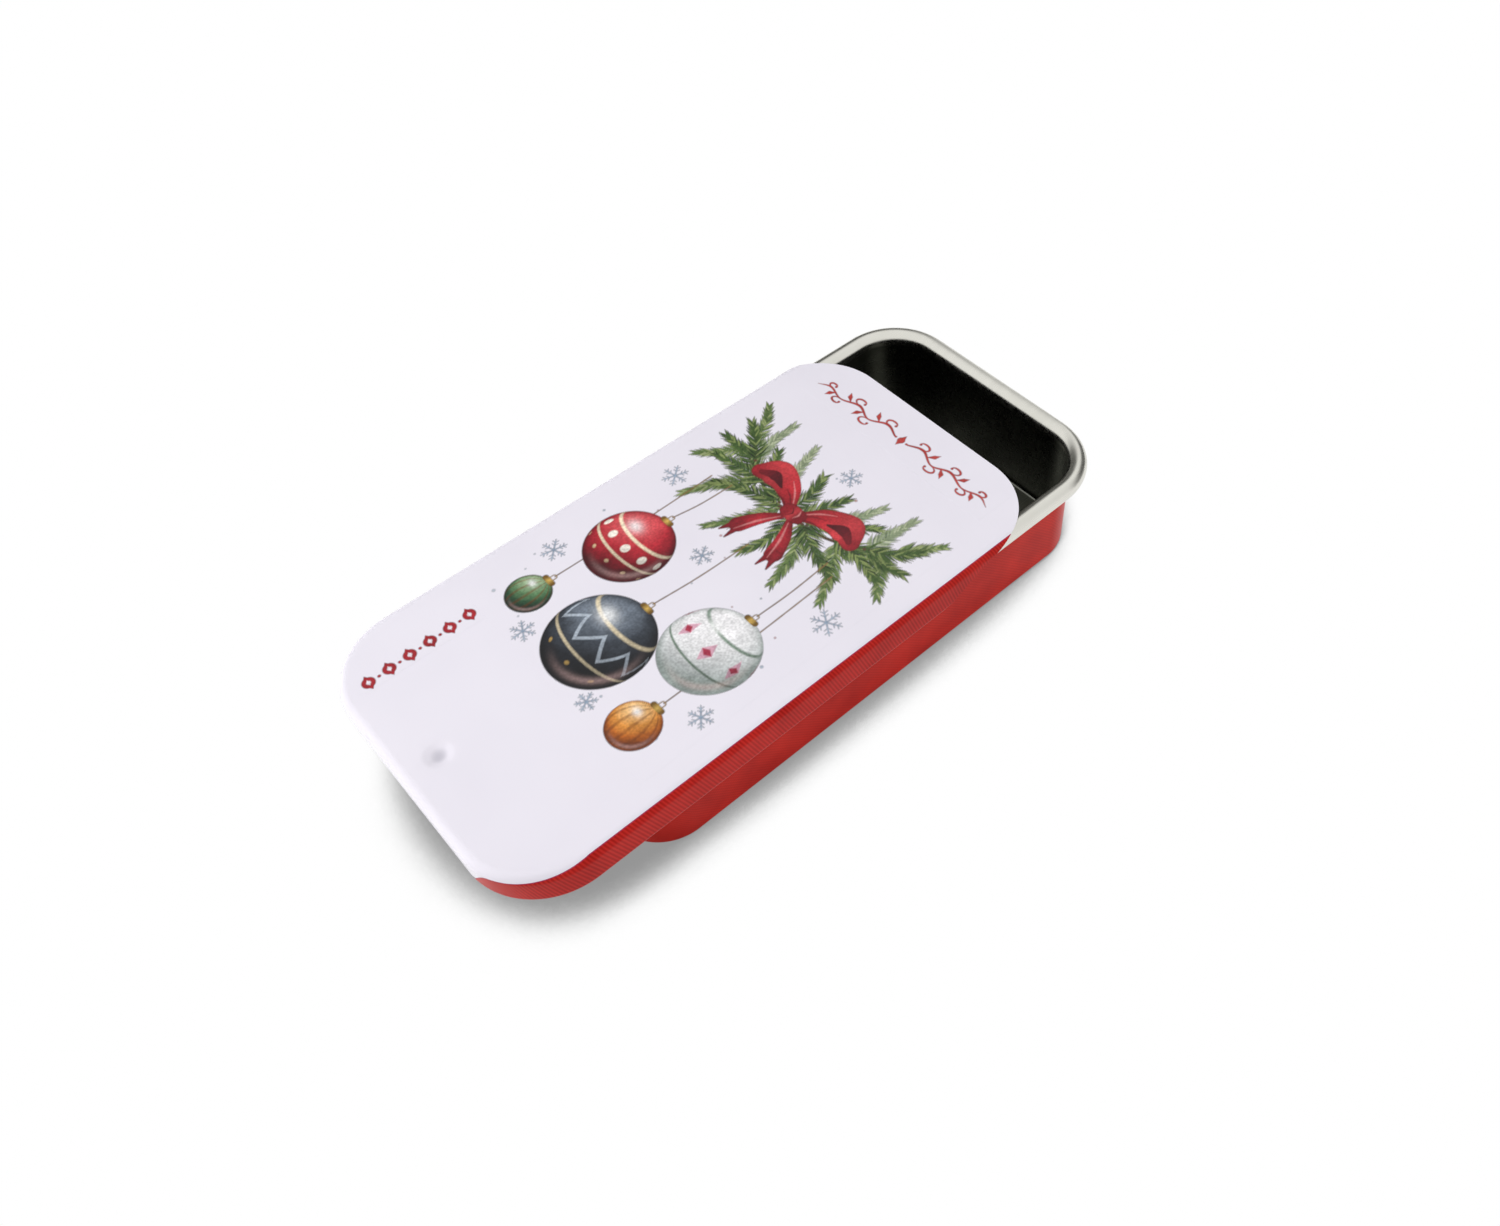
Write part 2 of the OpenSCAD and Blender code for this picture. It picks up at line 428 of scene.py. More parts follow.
def round_path(half_x, half_y, steps):
    """A rounded rectangle's inner frame: for each point, where it starts and the way that it faces.

    Each corner turns through 90 degrees about its own centre, and the straights join the corners.
    """
    angle = np.radians(np.concatenate([start + np.linspace(0, 90, steps + 1) for start in (0, 90, 180, 270)]))
    side_x = np.repeat([1, -1, -1, 1], steps + 1)
    side_y = np.repeat([1, 1, -1, -1], steps + 1)
    return np.stack([side_x * half_x, side_y * half_y], 1), np.stack([np.cos(angle), np.sin(angle)], 1)


def carry(starts, ways, out, up):
    """Points of a surface: each path point goes out along its way by out, and stands at the height up."""
    flat = starts[None] + out[..., None] * ways[None]
    return np.concatenate([flat, up[..., None]], 2)


tray_starts, tray_ways = round_path(tray_high[0] - RIM_CORNER_R, tray_high[1] - RIM_CORNER_R, 24)
# The path runs against the lid's, so it is turned round for the same faces to point outwards
tray_starts, tray_ways = tray_starts[::-1], tray_ways[::-1]
tray_along = TRAY_SECTION[2]


def tray_shell(name, distance, depth, thickness, material, slot):
    """The tray's section at some distances along it, carried all round the rounded rectangle."""
    around = np.ones(len(tray_starts))
    skins = []
    for level in (depth, depth + thickness):
        out, up = below(TRAY_SECTION, distance, level)
        skins.append(carry(tray_starts, tray_ways, out[:, None] * around, up[:, None] * around))
    rim = tray_starts + tray_ways * RIM_CORNER_R
    chart = np.stack(np.broadcast_arrays(walked(rim)[None], distance[:, None]), 2)
    return shell(name, *skins, chart, material, "tray", slot, closed=True, capped=True)


enamel_end = curl_start + np.radians(TRAY_ENAMEL_TURN) * (CURL_R - SHEET)
tray_metal = tray_shell("tray_tinplate", tray_along, ENAMEL, SHEET - ENAMEL, TRAY_TINPLATE, "bare_tinplate")
tray_shell("tray_red_enamel", tray_along[tray_along < enamel_end], 0.0, ENAMEL, TRAY_RED,
           "red_enamel_tinplate")
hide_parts("base_tray")


# The lid

corner_x = LID_CLOSED_X + LID_CORNER_R
corner_y = lid_high[1] - LID_CORNER_R
slant_top_x = LID_OPEN_X - LID_CORNER_R
slant_foot_x = slant_top_x - SLANT_RUN
lid_middle_x = LID_CLOSED_X + (tray_high[0] - tray_low[0]) / 2 + lid_high[1] - tray_high[1]
lid_points, _, lid_along = LID_SECTION
hem_start = lid_along[-1] - np.radians(HEM_TURN) * HEM_R
hem_foot = hem_start + np.radians(90) * HEM_R


def distance_at_out(out):
    """Distance along the lid's section at which it has come out so far."""
    rising = lid_along <= lid_flat_out + np.radians(90) * LID_BEND_R
    return np.interp(out, lid_points[rising, 0], lid_along[rising])


def distance_at_height(height):
    """Distance along the lid's section at which its outer face has come down to a height."""
    falling = (lid_along >= lid_flat_out) & (lid_along <= hem_foot)
    return np.interp(-height, -lid_points[falling, 1], lid_along[falling])


def side_columns():
    """Places along a long side from the open end to the closed corner, and how far the section runs at each.

    Round the open corner it stops at the corner's arc, then at the slanted cut with its tooth, and then at
    the hem's rolled end.
    """
    turn = np.radians(np.linspace(90, 0, 31))
    arc_x = slant_top_x + LID_CORNER_R * np.sin(turn)
    arc_distance = distance_at_out(LID_CORNER_R * np.cos(turn))
    shares = np.array(SLANT_SHARES)
    cut_x = np.concatenate([np.linspace(a, b, 6)[1:] for a, b in zip(shares[:-1, 0], shares[1:, 0])])
    cut_up = np.interp(cut_x, shares[:, 0], shares[:, 1])
    cut_distance = distance_at_height(LID_FOOT + cut_up * (LID_BEND_Z - LID_FOOT))
    whole_run = slant_foot_x - corner_x
    run_x = np.concatenate([np.linspace(0, HEM_RUNS_OUT, 5)[1:],
                            np.linspace(HEM_RUNS_OUT, whole_run, 30)[1:]])
    run_distance = np.interp(run_x, [0, HEM_RUNS_OUT], [hem_foot, lid_along[-1]])
    places = np.concatenate([arc_x, slant_top_x - cut_x * SLANT_RUN, slant_foot_x - run_x])
    return places, np.concatenate([arc_distance, cut_distance, run_distance])


def lid_path():
    """The lid's path from the open end along the near side, round the closed end and back along the far side.

    For each point: where the section starts, the way that it faces and the distance at which it ends.
    """
    places, ends = side_columns()
    turn = np.radians(np.linspace(0, 90, 25)[1:-1])
    across = np.linspace(-corner_y, corner_y, 121)
    near = np.stack([places, np.full(places.shape, -corner_y)], 1)
    far = (near * [1, -1])[::-1]
    down = np.tile([0.0, -1.0], (len(places), 1))
    bend_near = np.stack([-np.sin(turn), -np.cos(turn)], 1)
    bend_far = (bend_near * [1, -1])[::-1]
    end = np.stack([np.full(across.shape, corner_x), across], 1)
    starts = np.concatenate([near, np.tile([corner_x, -corner_y], (len(turn), 1)), end,
                             np.tile([corner_x, corner_y], (len(turn), 1)), far])
    ways = np.concatenate([down, bend_near, np.tile([-1.0, 0.0], (len(across), 1)), bend_far, -down])
    whole = np.full(2 * len(turn) + len(across), lid_along[-1])
    return starts, ways, np.concatenate([ends, whole, ends[::-1]])


lid_starts, lid_ways, lid_ends = lid_path()
lid_walked = walked(lid_starts + lid_ways * LID_CORNER_R)


# Distance along the section at which the white print ends, for each point of the lid's path. It is the print's
# own inset, plus its shift by how far the point faces that way, plus what the white gains at the closed end,
# which grows with the cube over the last tenth of the turn.
turned = np.clip((-lid_ways[:, 0] - 0.9) / 0.1, 0, 1)
print_edge = lid_flat_out + PRINT_EDGE + lid_ways @ PRINT_SHIFT + PRINT_CLOSED_END * turned ** 3


def dimple(points, level):
    """Sinks the catch dimple into a sheet: two bowls whose depth falls off as (1 - (distance / radius)^2)^2.

    The punch thins the sheet, so the outer face sinks deepest. level is the depth of the points in the sheet.
    """
    away = np.linalg.norm(points[..., :2] - np.array(DIMPLE_CENTRE.xy) / MM, axis=-1)
    wide = np.clip(1 - (away / DIMPLE_R) ** 2, 0, 1) ** 2
    core = np.clip(1 - (away / DIMPLE_CORE_R) ** 2, 0, 1) ** 2
    depth = DIMPLE_DEPTH + DIMPLE_THINNING * (1 - level / SHEET)
    sunk = points.copy()
    sunk[..., 2] -= depth * (wide * (1 - DIMPLE_CORE_SHARE) + core * DIMPLE_CORE_SHARE)
    return sunk


def lid_shell(name, marks, counts, depth, thickness, material, slot, columns=slice(None), capped=False):
    """The lid's section carried along the path, from the first mark through the others to the last.

    Each mark is a distance along the section for each point of the path, no further than the section's end
    there, and counts says how many rows lie between one mark and the next.
    """
    marks = [np.minimum(mark + 0 * lid_ends, lid_ends)[columns] for mark in marks]
    rows = []
    for start, stop, count in zip(marks[:-1], marks[1:], counts):
        share = np.linspace(0, 1, count, endpoint=False)[:, None]
        rows.append(start * (1 - share) + stop * share)
    distance = np.concatenate([*rows, marks[-1][None]])
    skins = []
    for level in (depth, depth + thickness):
        out, up = below(LID_SECTION, distance, level)
        skins.append(dimple(carry(lid_starts[columns], lid_ways[columns], out, up), level))
    chart = np.stack(np.broadcast_arrays(lid_walked[None, columns], distance - print_edge[None, columns]), 2)
    return shell(name, *skins, chart, material, "lid", slot, capped=capped)


bend_end = lid_flat_out + np.radians(90) * LID_BEND_R
lid_metal = lid_shell("lid_tinplate", (0, lid_flat_out, bend_end, hem_start, lid_ends), (60, 18, 8, 36),
                      INK + ENAMEL, SHEET - INK - ENAMEL, LID_TINPLATE, "bare_tinplate", capped=True)
lid_shell("lid_white_enamel", (0, lid_flat_out, print_edge), (60, 24), INK, ENAMEL, WHITE,
          "white_enamel_tinplate", capped=True)
red_columns = np.flatnonzero(lid_ends - print_edge > 0.02)
lid_shell("lid_red_enamel", (print_edge, hem_start, lid_ends), (26, 36), INK, ENAMEL, SKIRT_RED,
          "red_enamel_tinplate", columns=slice(red_columns[0], red_columns[-1] + 1))
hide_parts("slide_lid")


# The print: a fir swag with a bow and hanging baubles, a vine and a row of lozenges. It is painted with numpy
# on fine grids, in picture millimetres: u to the right, which is -Y on the tin, and v up, towards the lid's
# open end. EDGE is the width over which a painted edge fades, and RIM_FADE how far its darker rim reaches in.

EDGE = 0.055
RIM_FADE = 0.12


def ramp(codes, share):
    """Linear colours at some shares of the way through a row of hex colours."""
    inks = np.array([linear(code) for code in codes])
    steps = np.linspace(0, 1, len(inks))
    return np.stack([np.interp(share, steps, inks[:, i]) for i in range(3)], 2)


def curve(points, count=12):
    """A smooth line through a few points: each piece is a cubic whose slopes follow the points beside it."""
    points = np.array(points, float)
    ends = np.concatenate([[2 * points[0] - points[1]], points, [2 * points[-1] - points[-2]]])
    share = np.linspace(0, 1, count, endpoint=False)[:, None]
    pieces = []
    for before, start, stop, after in zip(ends[:-3], ends[1:-2], ends[2:-1], ends[3:]):
        slope_in, slope_out = (stop - before) / 2, (after - start) / 2
        bend_a = 2 * start - 2 * stop + slope_in + slope_out
        bend_b = 3 * stop - 3 * start - 2 * slope_in - slope_out
        pieces.append(((bend_a * share + bend_b) * share + slope_in) * share + start)
    return np.concatenate([*pieces, points[-1:]])


class Canvas:
    """A grid of print colours. wash is a cloudy value from 0 to 1 that makes the inks look brushed on."""

    def __init__(self, left, right, low, high, cell, seed):
        self.u = np.linspace(left, right, int(round((right - left) / cell)) + 1)
        self.v = np.linspace(low, high, int(round((high - low) / cell)) + 1)
        self.ink = np.zeros((len(self.v), len(self.u), 3))
        self.cover = np.zeros((len(self.v), len(self.u)))
        dice = np.random.default_rng(seed)
        self.wash = 0.5 * self.cloud(1.6, dice) + 0.3 * self.cloud(0.6, dice) + 0.2 * self.cloud(0.25, dice)

    def cloud(self, size, dice):
        """Random values at the points of a lattice of a size, smoothly joined between them."""
        along, up = (self.u - self.u[0]) / size, (self.v - self.v[0]) / size
        lattice = dice.random((int(up[-1]) + 2, int(along[-1]) + 2))
        col, row = along.astype(int), up.astype(int)
        x, y = along - col, (up - row)[:, None]
        x, y = x * x * (3 - 2 * x), y * y * (3 - 2 * y)
        low = lattice[row][:, col] * (1 - x) + lattice[row][:, col + 1] * x
        high = lattice[row + 1][:, col] * (1 - x) + lattice[row + 1][:, col + 1] * x
        return low * (1 - y) + high * y

    def box(self, low, high):
        """The part of the grid within a box of picture coordinates: its slices and its points."""
        cols = slice(*np.searchsorted(self.u, [low[0] - EDGE, high[0] + EDGE]))
        rows = slice(*np.searchsorted(self.v, [low[1] - EDGE, high[1] + EDGE]))
        return (rows, cols), *np.meshgrid(self.u[cols], self.v[rows])

    def lay(self, part, cover, ink, washed=0.25):
        """Lays ink over a part of the grid: it takes the share cover, and what was there keeps the rest."""
        ink = np.broadcast_to(ink, (*cover.shape, 3)) * (1 + washed * (2 * self.wash[part] - 1))[..., None]
        share = cover[..., None]
        self.ink[part] = self.ink[part] * (1 - share) + ink * share
        self.cover[part] = self.cover[part] * (1 - cover) + cover

    def stroke(self, line, widths, inks, rim=0.0, lit=0.0, strength=1.0, washed=0.25):
        """A brush stroke: it covers the points that are nearer to the line than its half width there.

        widths and inks are spread evenly along the line. rim darkens the stroke's edge, and lit makes one
        side lighter and the other darker.
        """
        line = np.array(line, float)
        spread = np.linspace(0, 1, len(line))
        half = np.interp(spread, np.linspace(0, 1, len(widths)), widths)
        reach = half.max()
        part, u, v = self.box(line.min(0) - reach, line.max(0) + reach)
        if not u.size:
            return
        gap = np.full(u.shape, 1e9)
        along = np.zeros(u.shape)
        side = np.zeros(u.shape)
        for i in range(len(line) - 1):
            (au, av), (bu, bv) = line[i], line[i + 1]
            du, dv = bu - au, bv - av
            length = max(np.hypot(du, dv), 1e-6)
            t = np.clip(((u - au) * du + (v - av) * dv) / length ** 2, 0, 1)
            offset = np.hypot(u - au - t * du, v - av - t * dv)
            here = half[i] + t * (half[i + 1] - half[i])
            nearer = offset - here < gap
            gap = np.where(nearer, offset - here, gap)
            along = np.where(nearer, (i + t) / (len(line) - 1), along)
            across = ((u - au) * dv - (v - av) * du) / length
            side = np.where(nearer, across / np.maximum(here, 0.02), side)
        value = (1 + lit * np.clip(side, -1, 1)) * (1 - rim * np.exp(np.minimum(gap, 0) / RIM_FADE))
        cover = strength * np.clip(0.5 - gap / EDGE / 2, 0, 1)
        self.lay(part, cover, ramp(inks, along) * value[..., None], washed)

    def dot(self, u, v, radius, ink, strength=1.0):
        """A round dot."""
        self.stroke([(u, v), (u + 0.001, v)], [radius, radius], [ink], strength=strength)


def towards(angle):
    """The unit vector at an angle."""
    return np.array([np.cos(angle), np.sin(angle)])


def fir_sprig(canvas, dice, root, tip, greens=("#1f2f1a", "#46602f", "#8a9a5c"), needle=1.9, sway=0.12):
    """A fir twig, swayed a little aside, with needles on both sides.

    They lean forward and get shorter towards the tip. A sparser layer of paler ones lies over the first.
    """
    aside = np.array([tip[1] - root[1], root[0] - tip[0]]) * dice.uniform(-sway, sway)
    line = curve([root, (np.array(root) + tip) / 2 + aside, tip], 10)
    along = walked(line)
    canvas.stroke(line, [0.16, 0.12, 0.06], ["#5b4330", "#4e4a33", "#4b6a44"])
    for layer in (0, 1):
        for at in np.arange(0.25, along[-1], 0.27 + 0.12 * layer):
            share = at / along[-1]
            back, start, ahead = (np.array([np.interp(at + step, along, line[:, i]) for i in range(2)])
                                  for step in (-0.2, 0, 0.2))
            heading = np.arctan2(*(ahead - back)[::-1])
            for side in (-1, 1):
                lean = heading + side * (0.85 - 0.45 * share + dice.normal(0, 0.12))
                length = needle * (1 - 0.5 * share) * dice.uniform(0.75, 1.1)
                tone = greens[min(2, layer + int(dice.random() < 0.35))]
                reach = towards(lean) * length
                curl = towards(heading) * 0.12 * length
                canvas.stroke([start, start + reach * 0.55, start + reach + curl],
                              [0.07, 0.11, 0.015], [tone, tone, greens[layer + 1]], rim=0.2)


def bow_loop(canvas, side):
    """One loop of the bow: a leaf-shaped band with its dark inside showing, and folds from the knot."""
    line = curve([(0.3 * side, 11.3), (2.6 * side, 13.2), (5.0 * side, 13.9), (6.6 * side, 12.9)], 10)
    canvas.stroke(line, [0.35, 1.2, 1.75, 0.9], ["#7d1420", "#b3252f", "#c23a40", "#9a1f2a"],
                  rim=0.45, lit=0.22)
    hollow = curve([(3.4 * side, 12.9), (5.0 * side, 13.5), (6.4 * side, 12.9)], 8)
    canvas.stroke(hollow, [0.12, 0.62, 0.3], ["#4a0b14", "#5d101b", "#7a1722"], rim=0.25)
    for start, stop, ink in (((0.6, 11.9), (3.2, 14.3), "#df8a8a"), ((0.7, 11.3), (3.4, 12.1), "#5f0f1a"),
                             ((0.6, 11.6), (2.9, 13.2), "#6d121d")):
        middle = (np.array(start) + stop) / 2 + (0, 0.25)
        fold = curve([start, middle, stop], 6) * (side, 1)
        canvas.stroke(fold, [0.03, 0.1, 0.02], [ink], strength=0.8)


def bow_tail(canvas, side):
    """One short tail of the bow, which widens to a notched end."""
    line = curve([(0.3 * side, 10.9), (1.7 * side, 8.9), (2.6 * side, 6.9)], 8)
    canvas.stroke(line, [0.3, 0.72, 0.95], ["#7d1420", "#ad2430", "#8c1a26"], rim=0.4, lit=0.3 * side)
    for prong in (-0.55, 0.6):
        tip = (2.9 * side + prong, 5.1 + 0.25 * prong * side)
        canvas.stroke([line[-1] + (prong * 0.4, 0.1), tip], [0.5, 0.1], ["#8c1a26", "#7c1621"], rim=0.4)
    canvas.stroke(curve([(0.6 * side, 10.4), (1.7 * side, 8.4), (2.5 * side, 6.2)], 6), [0.04, 0.13, 0.03],
                  ["#e09a98"], strength=0.55)


def bauble(canvas, centre, radius, inks, pattern, cord_top):
    """A hanging glass ball with its cord, cap and pattern, lit from the upper left.

    Each point has its place on the ball, with up, sideways and out of the picture in radii. Its value goes by
    how squarely it faces the light, and its latitude and longitude place the pattern.
    """
    cu, cv = centre
    cap = np.array([cu, cv + radius])
    halfway = (cap + cord_top) / 2 + (0.15, 0)
    canvas.stroke(curve([cord_top, halfway, cap + (0, 0.7)]), [0.07, 0.07], ["#8a6a42", "#6f5232"])
    ring = cap + [(-0.25, 0.25), (-0.2, 0.75), (0.2, 0.75), (0.25, 0.25)]
    canvas.stroke(curve(ring, 6), [0.06, 0.06], ["#9a7a3f"])
    part, u, v = canvas.box((cu - radius, cv - radius), (cu + radius, cv + radius))
    x, y = (u - cu) / radius, (v - cv) / radius
    away = np.hypot(x, y)
    z = np.sqrt(np.clip(1 - away ** 2, 0, 1))
    cover = np.clip(0.5 - (away - 1) * radius / EDGE / 2, 0, 1)
    faced = np.clip(-0.48 * x + 0.52 * y + 0.70 * z, 0, 1) + 0.12 * (canvas.wash[part] - 0.5)
    canvas.lay(part, cover, ramp(inks, faced), washed=0.3)
    latitude = 0.94 * y + 0.34 * z
    longitude = np.arctan2(x, 0.94 * z - 0.34 * y)
    for mark, code in pattern(latitude, longitude):
        canvas.lay(part, cover * mark, linear(code) * (0.45 + 0.65 * faced)[..., None])
    canvas.lay(part, cover * np.clip((away - 0.86) / 0.14, 0, 1) ** 1.5 * 0.55, linear(inks[0]))
    gleam = np.exp(-(((x + 0.36) / 0.20) ** 2 + ((y - 0.42) / 0.15) ** 2))
    canvas.lay(part, cover * gleam * 0.8, linear("#ffffff"), washed=0)
    glow = np.exp(-((away - 0.82) / 0.07) ** 2) * np.clip(0.7 * x - 0.7 * y, 0, 1) ** 2
    canvas.lay(part, cover * glow * 0.4, linear("#f0c8c4"), washed=0)
    canvas.stroke(cap + [(-0.52, 0.02), (0.52, 0.02)], [0.3, 0.3], ["#7a5a24", "#d8b25c", "#7a5a24"], rim=0.3)


def soft(value, width):
    """1 where value is above zero and 0 where it is below, with a ramp of a width between."""
    return np.clip(0.5 + value / width, 0, 1)


def fold_back(angle, count):
    """A zigzag from 0 to 1 and back, count times round."""
    return np.abs((angle * count / (2 * np.pi)) % 1 * 2 - 1)


def two_rings(latitude, half, low, high):
    """Two thin rings round a ball, at two latitudes, each of a half width."""
    return np.clip(sum(soft(half - np.abs(latitude - at), 0.03) for at in (low, high)), 0, 1)


def dotted_band(latitude, longitude):
    """Two thin rings with a row of round dots between them."""
    spread = (1 - fold_back(longitude, 11)) * 0.57 / 2
    dots = soft(0.11 - np.hypot(spread, latitude - 0.24), 0.03)
    below_dots = soft(0.055 - np.hypot(spread, latitude + 0.28), 0.03)
    return (two_rings(latitude, 0.035, -0.02, 0.50), "#f2dfc0"), (dots, "#fbf3e6"), (below_dots, "#e9c9a0")


def zigzag_band(latitude, longitude):
    """A zigzag between two rings, with small dots below."""
    zigzag = soft(0.05 - np.abs(latitude - 0.25 - 0.20 * (2 * fold_back(longitude, 9) - 1)), 0.03)
    dots = soft(0.05 - np.hypot((1 - fold_back(longitude, 9)) * 0.35, latitude + 0.36), 0.03)
    return (two_rings(latitude, 0.03, -0.12, 0.62), "#d9c9a8"), (zigzag, "#aeb8c4"), (dots, "#c7a25c")


def diamond_band(latitude, longitude):
    """A row of pink diamonds, with thin grey-green rings above and below."""
    spread = 1 - fold_back(longitude, 8)
    diamonds = soft(0.24 - np.abs(latitude - 0.28) - spread * 0.62, 0.04)
    hearts = soft(0.08 - np.abs(latitude - 0.28) - spread * 0.22, 0.03)
    return (two_rings(latitude, 0.028, -0.10, 0.66), "#7c8f80"), (diamonds, "#dba9bb"), (hearts, "#a8324a")


def ribs(latitude, longitude):
    """Fine upright ribs."""
    return ((soft(fold_back(longitude, 13) - 0.72, 0.3) * 0.5, "#7a3c10"),)


def crystal(canvas, u, v, size, turn):
    """A small six-armed snow crystal."""
    for arm in range(6):
        angle = turn + arm * np.pi / 3
        reach = towards(angle) * size
        canvas.stroke([(u, v), (u, v) + reach], [0.085, 0.05], ["#8fa0b5", "#a9b7c8"])
        for share in (0.45, 0.72):
            root = (u, v) + reach * share
            for side in (-1, 1):
                barb = towards(angle + side) * size * 0.26
                canvas.stroke([root, root + barb], [0.06, 0.04], ["#9cabbe"])


def paint_picture():
    """The swag, its bow, five baubles and the snow around them."""
    canvas = Canvas(-13.9, 13.9, -16.45, 20.6, 0.09, 11)
    dice = np.random.default_rng(5)
    for u, v, size, turn in (
            (-11.9, 6.4, 1.35, 0.2), (12.0, 5.2, 1.5, 0.5), (-1.9, 2.0, 1.15, 0.1), (12.2, -9.0, 1.2, 0.4),
            (-12.1, -7.6, 1.3, 0.3), (4.2, -15.1, 1.0, 0.0), (-6.0, -14.9, 1.2, 0.6), (0.4, 18.6, 1.2, 0.2)):
        crystal(canvas, u, v, size, turn)
    for _ in range(46):
        u, v = dice.uniform(-13, 13), dice.uniform(-16, 19)
        radius, ink = dice.uniform(0.07, 0.17), dice.choice(["#b9c4d2", "#9fb0c2", "#c98b8b"])
        canvas.dot(u, v, radius, ink, strength=0.8)
    ends = [(-12.0, 17.0), (-8.4, 13.6), (-4.2, 11.6), (0.0, 11.0), (4.2, 11.6), (8.4, 13.6), (12.0, 17.0)]
    stem = curve(ends, 10)
    canvas.stroke(stem, [0.02, 0.16, 0.22, 0.16, 0.02], ["#4d3a29"])
    pale = ("#66785a", "#93a17f", "#bcc5a3")
    mid = ("#34492a", "#647c45", "#a0ad74")
    for root, tip, greens, needle in (
            ((-3.0, 11.6), (-5.0, 18.6), pale, 1.7), ((3.4, 11.8), (5.6, 18.2), pale, 1.7),
            ((-8.0, 13.2), (-9.0, 19.3), pale, 1.6), ((8.2, 13.4), (8.8, 19.2), pale, 1.6),
            ((-5.6, 12.2), (-9.6, 5.6), mid, 1.8), ((5.6, 12.2), (9.9, 6.2), mid, 1.8),
            ((-9.4, 14.4), (-13.0, 9.8), mid, 1.7), ((9.4, 14.4), (13.0, 10.4), mid, 1.7),
            ((-1.4, 11.2), (-4.6, 4.6), mid, 1.7), ((1.4, 11.2), (5.2, 4.4), mid, 1.7),
            ((-10.2, 15.2), (-13.1, 19.4), mid, 1.5), ((10.2, 15.2), (13.1, 19.0), mid, 1.5)):
        fir_sprig(canvas, dice, root, tip, greens, needle, 0.10)
    for root, tip in (
            ((-1.6, 11.3), (-8.4, 8.7)), ((1.6, 11.3), (8.6, 8.9)), ((-2.0, 11.5), (-7.4, 15.9)),
            ((2.0, 11.5), (7.2, 16.1)), ((-6.6, 12.6), (-12.9, 13.6)), ((6.6, 12.6), (12.9, 13.9)),
            ((-0.8, 11.2), (-1.6, 16.8)), ((0.9, 11.2), (2.3, 16.4)), ((0.2, 11.0), (0.2, 4.9)),
            ((-8.0, 13.4), (-12.4, 16.6)), ((8.0, 13.4), (12.2, 17.0)), ((-5.0, 12.2), (-11.2, 11.2)),
            ((5.0, 12.2), (11.4, 11.6))):
        fir_sprig(canvas, dice, root, tip)
    bauble(canvas, (8.9, -13.6), 2.5, ["#6e3208", "#b4601c", "#df9440", "#f5c887"], ribs, (8.4, 9.0))
    bauble(canvas, (-9.3, -12.2), 2.2, ["#16281c", "#2f5237", "#628a5f", "#a5bd95"], ribs, (-9.4, 9.0))
    bauble(canvas, (-7.6, -2.2), 4.4, ["#43060f", "#7e1220", "#b32834", "#d6555a"], dotted_band, (-7.0, 9.6))
    bauble(canvas, (7.2, -4.2), 4.7, ["#8a9490", "#bcc0c0", "#dfdfe0", "#f4f2f4"], diamond_band, (6.9, 9.8))
    bauble(canvas, (-0.4, -10.6), 5.2, ["#0c0d10", "#1c1f25", "#3a4049", "#78828f"], zigzag_band, (0.0, 6.0))
    for piece in (bow_tail, bow_loop):
        for side in (-1, 1):
            piece(canvas, side)
    canvas.stroke([(-0.55, 11.5), (0.55, 11.5)], [0.95, 0.95], ["#8c1823", "#c23a40", "#7d1420"], rim=0.45)
    crease = curve([(-0.5, 12.0), (-0.1, 11.5), (-0.4, 10.9)], 5)
    canvas.stroke(crease, [0.03, 0.09, 0.02], ["#5a0e18"])
    gleam = curve([(0.35, 12.2), (0.55, 11.7), (0.4, 11.1)], 5)
    canvas.stroke(gleam, [0.03, 0.1, 0.02], ["#e59a98"], strength=0.7)
    return canvas


def paint_vine():
    """A thin red vine with curls on both sides of a small diamond, the same to the left and the right."""
    canvas = Canvas(-12.9, 12.9, 23.6, 28.0, 0.07, 23)
    red = ["#a8322f", "#b8433d"]
    for side in (-1, 1):
        stem = [(0.9, 25.7), (2.6, 26.3), (4.6, 25.4), (6.6, 26.1), (8.8, 25.4), (10.8, 25.9), (12.2, 25.3)]
        canvas.stroke(curve(stem, 12) * (side, 1), [0.10, 0.16, 0.09, 0.16, 0.09, 0.13, 0.03], red)
        for root, size, up in (((2.2, 26.2), 1.0, 1), ((4.6, 25.4), 1.0, -1), ((6.7, 26.1), 0.95, 1),
                               ((8.9, 25.4), 0.85, -1), ((10.7, 25.9), 0.7, 1)):
            turn = np.linspace(0, 1.55 * np.pi, 22)
            shrink = size * (1 - 0.62 * turn / turn[-1])
            rise = up * (0.55 * size - np.cos(turn) * shrink * 0.55)
            spiral = np.stack([np.sin(turn) * shrink, rise], 1) + root
            canvas.stroke(spiral * (side, 1), [0.05, 0.13, 0.11, 0.04], red)
            canvas.dot(side * spiral[-1, 0], spiral[-1, 1], 0.15, "#a8322f")
        for root, tip in (((3.5, 25.9), (4.4, 27.0)), ((5.6, 25.8), (6.4, 24.7)), ((7.7, 25.8), (8.6, 26.8)),
                          ((9.8, 25.7), (10.5, 24.7))):
            leaf = np.array([root, (np.array(root) + tip) / 2 + (0.12, 0), tip])
            canvas.stroke(leaf * (side, 1), [0.03, 0.26, 0.02], red)
    canvas.stroke([(0, 26.5), (0, 25.7), (0, 24.9)], [0.02, 0.42, 0.02], red, rim=0.2)
    for u in (-0.75, 0.75):
        canvas.dot(u, 25.7, 0.13, "#a8322f")
    return canvas


